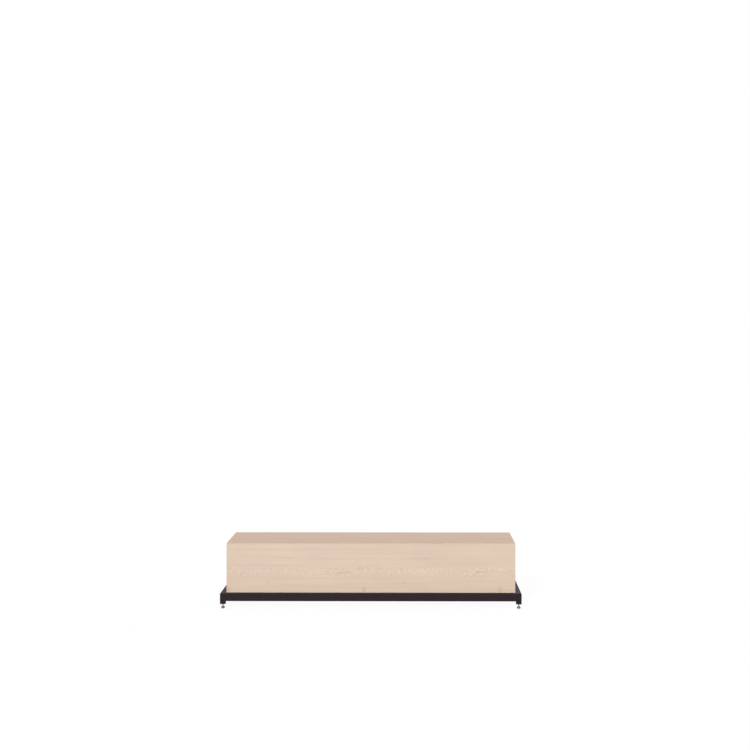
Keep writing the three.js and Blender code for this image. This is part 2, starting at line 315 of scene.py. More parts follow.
# The pores and the lacquered surface.
pore_strength = 0.45
pores_in_rings = 0.5
pores_between = 0.35
oak_roughness = 0.66
pore_roughness = 0.15
fibre_height_share = 0.5


def line_through(tree, share, points, bend):
    """A line through points, each a share of the way and a value: VECTOR keeps it straight, AUTO smooth."""
    line = add_node(tree, "ShaderNodeFloatCurve", {"Value": share})
    curve = line.mapping.curves[0]
    curve.points[0].location = points[0]
    curve.points[1].location = points[-1]
    for point in points[1:-1]:
        curve.points.new(*point)
    for point in curve.points:
        point.handle_type = bend
    line.mapping.update()
    return line.outputs[0]


def oak_group():
    """Crown-cut oak: rings cut by a face that swings nearer to and further from the heart of the log."""
    tree, given = new_group(
        "oak figure",
        ("Along", "Across", "Figure height", "Painted shade share"),
        ("Color", "Roughness", "Height"),
    )
    place = add_node(
        tree, "ShaderNodeCombineXYZ", {0: given["Along"], 1: given["Across"]}
    ).outputs[0]

    def in_leaf(start):
        """How far along a point lies from a place that comes once in each leaf of the veneer."""
        distance = maths(tree, "SUBTRACT", given["Along"], start)
        return maths(tree, "WRAP", distance, leaf_length / 2, -leaf_length / 2)

    def squared_distance(aside, above, half_length, half_height):
        """The square of the distance from an oval's middle: 1 on its edge, whatever its size."""
        side = maths(tree, "DIVIDE", aside, half_length)
        rise = maths(tree, "DIVIDE", above, half_height)
        return maths(tree, "MULTIPLY_ADD", side, side, maths(tree, "MULTIPLY", rise, rise))

    def spot(aside, above, half_length, half_height):
        """1 in the middle of an oval, which fades out a little past its edge."""
        squared = squared_distance(aside, above, half_length, half_height)
        return maths(tree, "SUBTRACT", 1, ramp(tree, squared, 0, mark_edge))

    # How far a point lies from the log's heart, which wanders, and how deep the face is cut above it.
    from_start = maths(tree, "SUBTRACT", given["Along"], leaf_start)
    leaf_share = maths(tree, "FRACT", maths(tree, "DIVIDE", from_start, leaf_length))
    from_figure = maths(tree, "SUBTRACT", given["Across"], given["Figure height"])
    ripples = swing(tree, stretched_noise(tree, place, (11, 30, 1)), ripple_reach)
    rippled = maths(tree, "ADD", from_figure, ripples)
    heart = swing(tree, line_through(tree, leaf_share, heart_heights, "AUTO"), heart_reach / 2)
    from_heart = maths(tree, "SUBTRACT", rippled, heart)
    wobble = swing(tree, stretched_noise(tree, place, (20, 30, 1)), wobble_reach)
    cut = line_through(tree, leaf_share, cut_depths, "VECTOR")
    depth = maths(tree, "ADD", maths(tree, "MULTIPLY_ADD", cut, cut_reach, shallowest_cut), wobble)
    hairs = swing(tree, stretched_noise(tree, place, (70, 420, 1)), hair_reach)

    # The rings themselves, as thin darker lines that are strongest in the figure.
    depth_squared = maths(tree, "MULTIPLY", depth, depth)
    radius = maths(tree, "SQRT", maths(tree, "MULTIPLY_ADD", from_heart, from_heart, depth_squared))
    year = maths(tree, "FRACT", maths(tree, "DIVIDE", maths(tree, "ADD", radius, hairs), ring_spacing))
    late = ramp(tree, year, late_wood_start, late_wood_end)
    next_year = ramp(tree, year, late_wood_end, 1.0)
    ring = maths(tree, "MULTIPLY", late, maths(tree, "SUBTRACT", 1, next_year))
    beside = maths(tree, "ABSOLUTE", rippled)
    in_figure = maths(tree, "SUBTRACT", 1, ramp(tree, beside, figure_core, figure_edge))
    patches = ramp(tree, stretched_noise(tree, place, (19, 36, 1)), 0.36, 0.62)
    shown = maths(tree, "MULTIPLY", in_figure, maths(tree, "MULTIPLY_ADD", patches, 0.5, 0.5))
    strength = maths(tree, "MULTIPLY_ADD", shown, ring_strength, quiet_ring_strength)
    rings = maths(tree, "MULTIPLY", maths(tree, "SUBTRACT", ring, ring_level), strength)

    # Broad bands, long quiet streaks and fine fibres. Below its figure a leaf is a little deeper in colour.
    bands = swing(tree, stretched_noise(tree, place, (0.7, 9, 1)), band_strength)
    streaks = swing(tree, stretched_noise(tree, place, (1.1, 46, 1), 3.0), streak_strength)
    fibres = swing(tree, stretched_noise(tree, place, (16, 620, 1), 3.0), fibre_strength)
    lines = maths(tree, "ADD", maths(tree, "ADD", bands, streaks), fibres)
    darkness = maths(tree, "ADD", maths(tree, "ADD", rings, lines), even_darkness, clamp=True)
    wood = mix_colours(tree, darkness, oak_light, oak_dark)
    blotches = ramp(tree, stretched_noise(tree, place, (3.2, 6.5, 1)), 0.30, 0.70)
    tone = mix_colours(tree, blotches, oak_yellow, oak_pink)
    wood = mix_colours(tree, blotch_share, wood, tone)
    below = maths(tree, "SUBTRACT", 1, ramp(tree, from_figure, figure_below, 0))
    wood = mix_colours(tree, maths(tree, "MULTIPLY", below, below_strength), wood, oak_dark)
    # Painted shade: a share of a pinker, deeper tint, which only the deck is given.
    wood = mix_colours(tree, given["Painted shade share"], wood, oak_painted_shade)

    # The brown flame, where the face runs along a ring. It is hatched with the grain, as the marks are.
    from_flame = in_leaf(flame_along)
    bent = maths(tree, "MULTIPLY", maths(tree, "MULTIPLY", from_flame, from_flame), flame_bend)
    flame = spot(
        maths(tree, "SUBTRACT", from_flame, flame_middle),
        maths(tree, "ADD", from_figure, bent),
        flame_half_length,
        flame_half_height,
    )
    hatching = ramp(tree, stretched_noise(tree, place, (26, 520, 1)), 0.30, 0.62)
    flame_share = maths(tree, "MULTIPLY_ADD", hatching, flame_hatched_share, flame_even_share)
    wood = mix_colours(tree, maths(tree, "MULTIPLY", flame, flame_share), wood, oak_flame)

    # The small knot with its own rings, and the faint marks.
    knot_squared = squared_distance(
        in_leaf(knot_along),
        maths(tree, "SUBTRACT", given["Across"], knot_height),
        knot_half_length,
        knot_half_height,
    )
    uneven = swing(tree, stretched_noise(tree, place, (150, 150, 1)), knot_unevenness)
    from_knot = maths(tree, "ADD", maths(tree, "SQRT", knot_squared), uneven)
    knot_wave = maths(tree, "SINE", maths(tree, "MULTIPLY", from_knot, 2 * math.pi * knot_rings))
    knot_ring = maths(tree, "MULTIPLY_ADD", knot_wave, 0.5, 0.5)
    knot_colour = mix_colours(tree, knot_ring, oak_knot_light, oak_knot_dark)
    in_knot = maths(tree, "SUBTRACT", 1, ramp(tree, from_knot, knot_core, knot_edge))
    wood = mix_colours(tree, maths(tree, "MULTIPLY", in_knot, knot_strength), wood, knot_colour)
    for start, level, half_length, half_height, even, hatched, colour in leaf_marks.values():
        above = maths(tree, "SUBTRACT", given["Across"], level)
        mark = spot(in_leaf(start), above, half_length, half_height)
        mark = maths(tree, "MULTIPLY", mark, maths(tree, "MULTIPLY_ADD", hatching, hatched, even))
        wood = mix_colours(tree, mark, wood, colour)

    # Open pores: short fine dashes along the grain, thickest in the rings' dark lines.
    dashes = ramp(tree, stretched_noise(tree, place, (60, 1500, 1), 1.0), 0.60, 0.72)
    thickness = maths(tree, "MULTIPLY_ADD", ring, pores_in_rings, pores_between)
    pores = maths(tree, "MULTIPLY", dashes, thickness)
    wood = mix_colours(tree, maths(tree, "MULTIPLY", pores, pore_strength), wood, oak_pore)
    roughness = maths(tree, "MULTIPLY_ADD", pores, pore_roughness, oak_roughness)
    fibre_height = maths(tree, "MULTIPLY", fibres, fibre_height_share)
    height = maths(tree, "SUBTRACT", fibre_height, pores)
    add_node(
        tree, "NodeGroupOutput", {"Color": wood, "Roughness": roughness, "Height": height}
    )
    return tree


oak = oak_group()


def new_material(name, **constants):
    """A material with one Principled shader, whose constants are set on its own sockets."""
    material = bpy.data.materials.new(name)
    material.use_nodes = True
    shader = material.node_tree.nodes["Principled BSDF"]
    for socket, value in constants.items():
        shader.inputs[socket.replace("_", " ")].default_value = value
    return material, material.node_tree, shader


def link_finish(tree, shader, colour, roughness, height, relief, strength=1.0):
    """Links a finish to its shader: colour, roughness, and height as a relief of that depth in metres."""
    tree.links.new(colour, shader.inputs["Base Color"])
    tree.links.new(roughness, shader.inputs["Roughness"])
    bump = add_node(
        tree, "ShaderNodeBump", {"Strength": strength, "Distance": relief, "Height": height}
    )
    tree.links.new(bump.outputs[0], shader.inputs["Normal"])


def link_group(tree, shader, group, inputs, relief):
    """Places a finish group in a material with its own values, and links it to the shader."""
    finish = add_node(tree, "ShaderNodeGroup", inputs, node_tree=group).outputs
    link_finish(tree, shader, finish["Color"], finish["Roughness"], finish["Height"], relief)


def own_place(tree):
    """The point that is shaded, in metres, on the axes that the pieces are built on."""
    return add_node(tree, "ShaderNodeTexCoord").outputs["Object"]


oak_relief = 0.00005
lacquer_gloss = 0.05


def oak_material(name, along, across, figure_height, painted_shade_share):
    """Oak for one face. along and across each name an axis, its direction and the grain's value at 0."""
    material, tree, shader = new_material(name, Specular_IOR_Level=lacquer_gloss)
    axes = add_node(tree, "ShaderNodeSeparateXYZ", {0: own_place(tree)}).outputs
    inputs = {"Figure height": figure_height, "Painted shade share": painted_shade_share}
    for socket, (axis, direction, start) in (("Along", along), ("Across", across)):
        inputs[socket] = maths(tree, "MULTIPLY_ADD", axes[axis], direction, start)
    link_group(tree, shader, oak, inputs, oak_relief)
    return material


def keep_behind(shape, point, normal):
    """Cuts a closed shape by a plane, drops what lies on the normal's side, and closes the cut."""
    whole = shape.verts[:] + shape.edges[:] + shape.faces[:]
    bmesh.ops.bisect_plane(
        shape, geom=whole, plane_co=point, plane_no=normal, clear_outer=True
    )
    bmesh.ops.holes_fill(shape, edges=shape.edges[:], sides=0)


def block(low, high):
    """A closed rectangular block between two corners."""
    shape = bmesh.new()
    centre = (Vector(low) + Vector(high)) / 2
    size = Vector(high) - Vector(low)
    place = Matrix.Translation(centre) @ Matrix.Diagonal((*size, 1))
    bmesh.ops.create_cube(shape, size=1, matrix=place)
    return shape


def ease(shape, edges, width, segments):
    """Rounds edges over by a small width."""
    bmesh.ops.bevel(
        shape,
        geom=edges,
        offset=width,
        offset_type="OFFSET",
        affect="EDGES",
        segments=segments,
        profile=0.5,
        material=-1,
        clamp_overlap=True,
    )


smooth_angle = math.radians(35)


def finish_piece(shape, name, body, materials, replaces):
    """Makes the piece from its shape, with its materials, and lets it ride on its body."""
    bmesh.ops.recalc_face_normals(shape, faces=shape.faces[:])
    mesh = bpy.data.meshes.new(name)
    shape.to_mesh(mesh)
    shape.free()
    mesh.shade_smooth()
    mesh.set_sharp_from_angle(angle=smooth_angle)
    for material in materials:
        mesh.materials.append(material)
    piece = bpy.data.objects.new(name, mesh)
    bpy.context.scene.collection.objects.link(piece)
    flattened = piece.modifiers.new("flat faces stay flat", "WEIGHTED_NORMAL")
    flattened.keep_sharp = True
    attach(piece, body)
    if replaces:
        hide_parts(*replaces)


box_low = Vector(
    (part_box("left_end_panel")[0].x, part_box("front_panel")[0].y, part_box("front_panel")[0].z)
)
box_high = Vector(
    (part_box("right_end_panel")[1].x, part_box("back_panel")[1].y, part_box("top_panel")[1].z)
)
panel_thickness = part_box("front_panel")[1].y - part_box("front_panel")[0].y
figure_height_front = 0.248
figure_height_back = 0.205
figure_height_deck = 0.739
# The deck alone gets a share of painted shade: its veneer is tinted pinker and deeper than the front's.
deck_painted_shade_share = 0.17
arris = 0.0007
glue_line = 0.00004
least_facing_share = 0.72
core_dark = linear(176, 146, 108)
core_light = linear(203, 176, 138)
core_roughness = 0.75
X, Y, Z = 0, 1, 2

core_material, core_tree, core_shader = new_material("panel core", Roughness=core_roughness)
core_chips = stretched_noise(core_tree, own_place(core_tree), (220, 220, 420), 4.0)
core_tree.links.new(
    mix_colours(core_tree, core_chips, core_dark, core_light), core_shader.inputs["Base Color"]
)

# Along the box the grain counts from its middle. It runs on round the corners to the ends and the back.
half_length = box_high.x
half_depth = box_high.y
depth = box_high.y - box_low.y
panels = {
    "front_panel": ((0, -1, 0), (X, 1, 0), (Z, 1, 0), figure_height_front, 0),
    "back_panel": (
        (0, 1, 0), (X, -1, 2 * half_length + depth), (Z, 1, 0), figure_height_back, 0
    ),
    "left_end_panel": (
        (-1, 0, 0), (Y, -1, -half_length - half_depth), (Z, 1, 0), figure_height_front, 0
    ),
    "right_end_panel": (
        (1, 0, 0), (Y, 1, half_length + half_depth), (Z, 1, 0), figure_height_front, 0
    ),
    "top_panel": (
        (0, 0, 1), (X, 1, 0), (Y, 1, box_high.z + half_depth), figure_height_deck, deck_painted_shade_share
    ),
}
outward_faces = [Vector(facing) for facing, *_ in panels.values()]

# Each panel is cut from a block of the whole box: at its inner face, and at 45 degrees through every edge
# that it shares. Its outer edges are eased, all but the lower ones of the upright panels.
for name, (facing, along, across, figure_height, painted_shade_share) in panels.items():
    facing = Vector(facing)
    shape = block(box_low, box_high)
    corner = Vector(box_high[i] if facing[i] > 0 else box_low[i] for i in range(3))
    keep_behind(shape, corner - facing * panel_thickness, -facing)
    for other in outward_faces:
        if other.dot(facing) == 0:
            edge = Vector(
                box_high[i] if (facing + other)[i] > 0 else box_low[i] for i in range(3)
            )
            keep_behind(shape, edge - other * glue_line, other - facing)
    outer = [
        edge
        for edge in shape.edges
        if all(abs((v.co - corner).dot(facing)) < glue_line for v in edge.verts)
        and abs(edge.calc_face_angle_signed(0)) > smooth_angle
        and not (facing.z == 0 and all(abs(v.co.z - box_low.z) < glue_line for v in edge.verts))
    ]
    ease(shape, outer, arris, 2)
    bmesh.ops.recalc_face_normals(shape, faces=shape.faces[:])
    for face in shape.faces:
        veneered = abs(face.normal.dot(facing)) > least_facing_share
        face.material_index = 0 if veneered else 1
    oak_face = oak_material(
        f"oak on {name.replace('_', ' ')}", along, across, figure_height, painted_shade_share
    )
    finish_piece(
        shape, f"veneered_{name}", "plinth", (oak_face, core_material), (name,)
    )


# Ribs
# Three boards of 18 mm birch plywood across the box that hold the top flat. Each has two round holes and
# is notched round the battens and cleats, to which it is glued and pinned.
def fresh_copy(name):
    """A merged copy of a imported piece's own shape, with its flat faces whole."""
    shape = bmesh.new()
    shape.from_mesh(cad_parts[name].data)
    bmesh.ops.remove_doubles(shape, verts=shape.verts[:], dist=merge_distance)
    bmesh.ops.dissolve_limit(
        shape, angle_limit=flat_angle, verts=shape.verts[:], edges=shape.edges[:]
    )
    return shape


def sharp_edges(shape, least_length=0.0):
    """The edges where two faces meet at more than a slight angle."""
    return [
        edge
        for edge in shape.edges
        if edge.is_manifold
        and edge.calc_face_angle() > smooth_angle
        and edge.calc_length() > least_length
    ]


merge_distance = 0.00002
flat_angle = math.radians(0.5)
rib_arris = 0.0006
rib_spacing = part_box("rib_right")[0].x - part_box("rib_centre")[0].x
ply_layers = 13
ply_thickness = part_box("rib_centre")[1].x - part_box("rib_centre")[0].x
ply_light = linear(224, 198, 160)
ply_dark = linear(196, 162, 118)
ply_cross = linear(158, 122, 86)
ply_relief = 0.0001
ply_rings = 60
ring_shade = 0.18
cross_strength = 0.75
ply_least_roughness = 0.55
grain_roughness = 0.2
bare_wood_gloss = 0.3

ply_material, ply_tree, ply_shader = new_material("birch plywood", Specular_IOR_Level=bare_wood_gloss)
ply_place = own_place(ply_tree)
from_rib = maths(
    ply_tree,
    "WRAP",
    add_node(ply_tree, "ShaderNodeSeparateXYZ", {0: ply_place}).outputs[X],
    rib_spacing / 2,
    -rib_spacing / 2,
)
layer = maths(ply_tree, "MULTIPLY_ADD", from_rib, ply_layers / ply_thickness, 0.5)
crosswise = maths(ply_tree, "PINGPONG", maths(ply_tree, "FLOOR", layer), 1.0)
flat_grain = stretched_noise(ply_tree, ply_place, (500, 7, 36), 3.0)
face_figure = stretched_noise(ply_tree, ply_place, (4, 2.2, 9), 1.0)
figure_wave = maths(ply_tree, "SINE", maths(ply_tree, "MULTIPLY", face_figure, ply_rings))
ply_shade = maths(ply_tree, "MULTIPLY_ADD", figure_wave, ring_shade, flat_grain)
ply_face = mix_colours(ply_tree, ply_shade, ply_light, ply_dark)
cross_share = maths(ply_tree, "MULTIPLY", crosswise, cross_strength)
ply_colour = mix_colours(ply_tree, cross_share, ply_face, ply_cross)
ply_roughness = maths(ply_tree, "MULTIPLY_ADD", flat_grain, grain_roughness, ply_least_roughness)
link_finish(ply_tree, ply_shader, ply_colour, ply_roughness, flat_grain, ply_relief)

for side in ("left", "centre", "right"):
    shape = fresh_copy(f"rib_{side}")
    ease(shape, sharp_edges(shape), rib_arris, 2)
    finish_piece(
        shape, f"plywood_rib_{side}", "plinth", (ply_material,), (f"rib_{side}",)
    )


# Battens, corner blocks and cleats
# Planed spruce behind the joints: battens under the top, blocks behind the upright mitres and cleats round
# the foot, all glued and pinned to the panels. Their long edges are rounded by the planer.
def softwood_group():
    """Spruce: thin darker rings round the heart of the tree, and fine fibres along it."""
    tree, given = new_group(
        "softwood", ("Along", "Across", "Deep"), ("Color", "Roughness", "Height")
    )
    place = add_node(
        tree,
        "ShaderNodeCombineXYZ",
        {0: given["Along"], 1: given["Across"], 2: given["Deep"]},
    ).outputs[0]
    sway = swing(tree, stretched_noise(tree, place, (2.5, 9, 9)), spruce_sway)
    across = maths(tree, "ADD", given["Across"], sway)
    across_squared = maths(tree, "MULTIPLY", across, across)
    radius = maths(
        tree, "SQRT", maths(tree, "MULTIPLY_ADD", given["Deep"], given["Deep"], across_squared)
    )
    in_ring = maths(tree, "FRACT", maths(tree, "MULTIPLY", radius, 1 / spruce_ring))
    late_wood = maths(tree, "POWER", in_ring, late_wood_power)
    fibres = stretched_noise(tree, place, (12, 500, 500), 3.0)
    blotches = stretched_noise(tree, place, (3, 14, 14))
    late_shade = maths(tree, "MULTIPLY", late_wood, late_wood_strength)
    darkness = maths(tree, "MULTIPLY_ADD", fibres, spruce_fibre_strength, late_shade)
    wood = mix_colours(tree, darkness, spruce_light, spruce_dark)
    warm_share = maths(tree, "MULTIPLY", blotches, spruce_warm_strength)
    wood = mix_colours(tree, warm_share, wood, spruce_warm)
    roughness = maths(tree, "MULTIPLY_ADD", fibres, grain_roughness, spruce_least_roughness)
    height = maths(tree, "MULTIPLY_ADD", late_wood, late_wood_rise, fibres)
    add_node(
        tree, "NodeGroupOutput", {"Color": wood, "Roughness": roughness, "Height": height}
    )
    return tree


spruce_light = linear(232, 208, 168)
spruce_dark = linear(196, 152, 100)
spruce_warm = linear(214, 178, 132)
spruce_ring = 0.0032
spruce_sway = 0.012
late_wood_power = 3.0
late_wood_strength = 0.55
spruce_fibre_strength = 0.35
spruce_warm_strength = 0.35
spruce_least_roughness = 0.52
late_wood_rise = 0.6
spruce_relief = 0.00012
heart_across = 0.045
heart_deep = 0.07
log_offset = 10
planed_radius = 0.0018
planed_segments = 3
planed_least_length = 0.05
softwood = softwood_group()


def softwood_material(name, along_axis, centre):
    """Spruce that runs along one axis, cut from the log at its own distance from the heart."""
    material, tree, shader = new_material(name, Specular_IOR_Level=bare_wood_gloss)
    axes = add_node(tree, "ShaderNodeSeparateXYZ", {0: own_place(tree)}).outputs
    across_axis = (along_axis + 1) % 3
    deep_axis = (along_axis + 2) % 3
    inputs = {
        "Along": maths(tree, "ADD", axes[along_axis], log_offset * centre[across_axis]),
        "Across": maths(tree, "ADD", axes[across_axis], heart_across - centre[across_axis]),
        "Deep": maths(tree, "ADD", axes[deep_axis], heart_deep - centre[deep_axis]),
    }
    link_group(tree, shader, softwood, inputs, spruce_relief)
    return material


side_axes = {"front": X, "back": X, "left": Y, "right": Y}
corners = ("front_left", "front_right", "back_left", "back_right")
lengths_of_wood = (
    [(f"top_batten_{side}", along_axis) for side, along_axis in side_axes.items()]
    + [(f"cleat_{side}", along_axis) for side, along_axis in side_axes.items()]
    + [(f"corner_block_{corner}", Z) for corner in corners]
)
for name, along_axis in lengths_of_wood:
    low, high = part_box(name)
    wood_material = softwood_material(f"spruce {name.replace('_', ' ')}", along_axis, (low + high) / 2)
    shape = fresh_copy(name)
    ease(shape, sharp_edges(shape, planed_least_length), planed_radius, planed_segments)
    finish_piece(shape, f"planed_{name}", "plinth", (wood_material,), (name,))


# Rails
# Four lengths of 40 x 55 x 3 mm steel tube with rounded corners. They are mitred and welded into a ring
# and the welds are ground flush. The whole frame is powder coated satin black. Its faint blue sheen is
# a painted reflection of a bluish sky.
coat_dark = linear(42, 34, 37)
coat_light = linear(51, 41, 45)
coat_gloss = 0.05
# The sheen is a painted reflection: its blue stands for a bluish sky that the studio doesn't have.
coat_painted_reflection = 0.065
coat_painted_reflection_roughness = 0.30
coat_painted_sky_colour = (0, 0.1, 1, 1)
coat_least_roughness = 0.44
mottle_roughness = 0.12
coat_relief = 0.0001
grit_share = 0.45
ring_gap_closed = 0.00019

coat_material, coat_tree, coat_shader = new_material(
    "black powder coat",
    Specular_IOR_Level=coat_gloss,
    Sheen_Weight=coat_painted_reflection,
    Sheen_Roughness=coat_painted_reflection_roughness,
    Sheen_Tint=coat_painted_sky_colour,
)
coat_place = own_place(coat_tree)
coat_mottle = stretched_noise(coat_tree, coat_place, (30, 30, 30), 3.0)
coat_peel = stretched_noise(coat_tree, coat_place, (650, 650, 650), 1.0)
coat_grit = stretched_noise(coat_tree, coat_place, (2600, 2600, 2600), 1.0)
link_finish(
    coat_tree,
    coat_shader,
    mix_colours(coat_tree, coat_mottle, coat_dark, coat_light),
    maths(coat_tree, "MULTIPLY_ADD", coat_mottle, mottle_roughness, coat_least_roughness),
    maths(coat_tree, "MULTIPLY_ADD", coat_grit, grit_share, coat_peel),
    coat_relief,
)

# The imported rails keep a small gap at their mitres. The visible ones are drawn out at both ends until it
# all but closes.
for side, along_axis in side_axes.items():
    shape = fresh_copy(f"rail_{side}")
    for vert in shape.verts:
        vert.co[along_axis] += math.copysign(ring_gap_closed, vert.co[along_axis])
    finish_piece(
        shape, f"tube_rail_{side}", "plinth", (coat_material,), (f"rail_{side}",)
    )


# Cross tubes
# Five flat tubes of 40 x 20 x 2 mm under the box. They are welded between the long rails, on the sides and
# from below, and carry the box's weight.
def bead(shape, start, end, width):
    """Lays a weld along a line: small ripples one on the next, each a little different."""
    path = Vector(end) - Vector(start)
    count = max(2, round(path.length / (width * ripple_share)))
    for step in range(count + 1):
        radius = width / 2 * chance.uniform(ripple_least, ripple_most)
        wander = Vector(chance.uniform(-1, 1) * width * wander_share for _ in range(3))
        place = Vector(start) + path * step / count + wander
        bmesh.ops.create_uvsphere(
            shape,
            u_segments=bead_sides,
            v_segments=bead_rings,
            radius=radius,
            matrix=Matrix.Translation(place),
        )


def placed(shape, offset, mirror=(1, 1, 1)):
    """A copy of a shape at its own place, mirrored first where one of the three signs is -1."""
    copy = shape.copy()
    bmesh.ops.scale(copy, vec=mirror, verts=copy.verts[:])
    bmesh.ops.translate(copy, vec=offset, verts=copy.verts[:])
    return copy


def middle_of(name, height=0):
    """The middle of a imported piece's box as seen from above, at a height of its own."""
    low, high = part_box(name)
    return ((low.x + high.x) / 2, (low.y + high.y) / 2, height)


ripple_share = 0.42
ripple_least = 0.88
ripple_most = 1.08
wander_share = 0.05
bead_sides = 8
bead_rings = 6
bead_width = 0.0042
cross_corner = 0.0035
cross_tubes = 5
chance = random.Random(7)

cross_low, cross_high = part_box("cross_tube_1")
half_width = (cross_high.x - cross_low.x) / 2
half_run = (cross_high.y - cross_low.y) / 2
cross_height = cross_high.z - cross_low.z
cross_welds = bmesh.new()
for y in (-half_run, half_run):
    bead(
        cross_welds,
        (cross_corner - half_width, y, 0),
        (half_width - cross_corner, y, 0),
        bead_width,
    )
    for x in (-half_width, half_width):
        bead(cross_welds, (x, y, cross_corner), (x, y, cross_height - cross_corner), bead_width)

for number in range(1, cross_tubes + 1):
    name = f"cross_tube_{number}"
    finish_piece(
        fresh_copy(name), f"flat_{name}", "plinth", (coat_material,), (name,)
    )
    finish_piece(
        placed(cross_welds, middle_of(name, cross_low.z)),
        f"welds_{name}",
        "plinth",
        (coat_material,),
        (),
    )


# Leg stubs
# Four short legs of 38 mm square tube under the ring's corners, flush with its outside and welded all
# round. The outer welds lie in the hollow under the rail's rounded edge.
groove_depth = 0.0027
groove_rise = 0.0012
stub_corner = 0.004

stub_low, stub_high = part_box("leg_stub_back_right")
half_stub = (stub_high.x - stub_low.x) / 2
seam_end = half_stub - stub_corner
stub_welds = bmesh.new()
for seam, rise in ((-half_stub, 0), (half_stub - groove_depth, groove_rise)):
    bead(stub_welds, (seam, -seam_end, rise), (seam, seam_end, rise), bead_width)
    bead(stub_welds, (-seam_end, seam, rise), (seam_end, seam, rise), bead_width)

for corner in corners:
    name = f"leg_stub_{corner}"
    finish_piece(
        fresh_copy(name), f"square_{name}", "plinth", (coat_material,), (name,)
    )
    top_middle = middle_of(name, stub_high.z)
    to_corner = (math.copysign(1, top_middle[X]), math.copysign(1, top_middle[Y]), 1)
    finish_piece(
        placed(stub_welds, top_middle, to_corner),
        f"welds_{name}",
        "plinth",
        (coat_material,),
        (),
    )


# Hold-down screws
# Ten flanged hexagon screws, 6 mm, go up through the cross tubes into the cleats and hold the box to its
# frame. They are zinc-plated steel, and only their heads show, under the tubes.
def join_shapes(*shapes):
    """One shape of several, each still closed by itself."""
    whole = bmesh.new()
    for shape in shapes:
        mesh = bpy.data.meshes.new("part of a piece")
        bmesh.ops.recalc_face_normals(shape, faces=shape.faces[:])
        shape.to_mesh(mesh)
        shape.free()
        whole.from_mesh(mesh)
        bpy.data.meshes.remove(mesh)
    return whole


def turned(points, bend):
    """A turned shape: a line of radius and height points, with its corners rounded, spun upright."""
    shape = bmesh.new()
    closed = points[0] == points[-1]
    places = points[:-1] if closed else points
    line = [shape.verts.new((radius, 0, height)) for radius, height in places]
    pairs = zip(line, line[1:] + line[:1]) if closed else zip(line, line[1:])
    for pair in pairs:
        shape.edges.new(pair)
    bmesh.ops.bevel(
        shape,
        geom=line if closed else line[1:-1],
        offset=bend,
        offset_type="OFFSET",
        affect="VERTICES",
        segments=turned_bend_segments,
        profile=0.5,
        material=-1,
        clamp_overlap=True,
    )
    bmesh.ops.spin(
        shape,
        geom=shape.verts[:] + shape.edges[:],
        cent=(0, 0, 0),
        axis=(0, 0, 1),
        angle=2 * math.pi,
        steps=turned_sides,
        use_merge=True,
    )
    bmesh.ops.remove_doubles(shape, verts=shape.verts[:], dist=merge_distance)
    return shape


def hexagon_head(low, high, flats):
    """A hexagon head with its corners turned off at both ends, as a lathe leaves them."""
    shape = bmesh.new()
    end_radius = flats / 2 * head_face_share
    bmesh.ops.create_circle(
        shape,
        cap_ends=True,
        segments=head_sides,
        radius=end_radius,
        matrix=Matrix.Translation((0, 0, low)),
    )
    for end, inward in ((low, 1), (high, -1), (high, 0)):
        rim = [edge for edge in shape.edges if edge.is_boundary]
        grown = bmesh.ops.extrude_edge_only(shape, edges=rim)["geom"]
        for vert in grown:
            if isinstance(vert, bmesh.types.BMVert):
                angle = math.atan2(vert.co.y, vert.co.x)
                from_flat = (angle + math.pi / 6) % (math.pi / 3) - math.pi / 6
                to_corner = flats / 2 / math.cos(from_flat)
                radius = to_corner if inward else end_radius
                drop = (to_corner - end_radius) * math.tan(head_chamfer_angle)
                vert.co.x = radius * math.cos(angle)
                vert.co.y = radius * math.sin(angle)
                vert.co.z = end + inward * drop
    bmesh.ops.holes_fill(shape, edges=shape.edges[:], sides=0)
    return shape


def threaded_rod(low, high, root, crest, pitch, point):
    """A rod with a real screw thread from low to high, whose upper end is cut to a cone of height point."""
    line = (
        (root, 0),
        (root, pitch * root_flat_share),
        (crest, pitch * (root_flat_share + flank_share)),
        (crest, pitch * (1 - flank_share)),
        (root, pitch),
    )
    turn = bmesh.new()
    verts = [turn.verts.new((radius, 0, low - pitch + height)) for radius, height in line]
    edges = [turn.edges.new(pair) for pair in zip(verts, verts[1:])]
    bmesh.ops.spin(
        turn,
        geom=verts + edges,
        cent=(0, 0, 0),
        axis=(0, 0, 1),
        dvec=(0, 0, pitch / thread_steps),
        angle=2 * math.pi,
        steps=thread_steps,
    )
    turns = math.ceil((high - low) / pitch) + 2
    shape = join_shapes(*(placed(turn, (0, 0, pitch * number)) for number in range(turns)))
    bmesh.ops.remove_doubles(shape, verts=shape.verts[:], dist=merge_distance)
    keep_behind(shape, (0, 0, low), (0, 0, -1))
    keep_behind(shape, (0, 0, high), (0, 0, 1))
    for vert in shape.verts:
        away = Vector((vert.co.x, vert.co.y, 0))
        reach = crest * (point_share + (1 - point_share) * (high - vert.co.z) / point)
        if away.length > reach:
            vert.co -= away * (1 - reach / away.length)
    return shape


head_sides = 48
head_face_share = 0.96
head_chamfer_angle = math.radians(30)
thread_steps = 24
root_flat_share = 0.25
flank_share = 0.3125
point_share = 0.7
turned_sides = 64
turned_bend_segments = 4
screw_flats = 0.010
screw_flange_height = 0.0014
screw_flange_radius = 0.007
screw_radius = 0.003
screw_root = 0.0021
screw_pitch = 0.0026
screw_point = 0.004
flange_edge = 0.0003
zinc_dull = linear(150, 144, 144)
zinc_bright = linear(186, 180, 180)
crystals_per_metre = 900
plating_relief = 0.00002
plating_relief_strength = 0.6
plating_least_roughness = 0.30
crystal_roughness = 0.12
film_roughness = 0.16


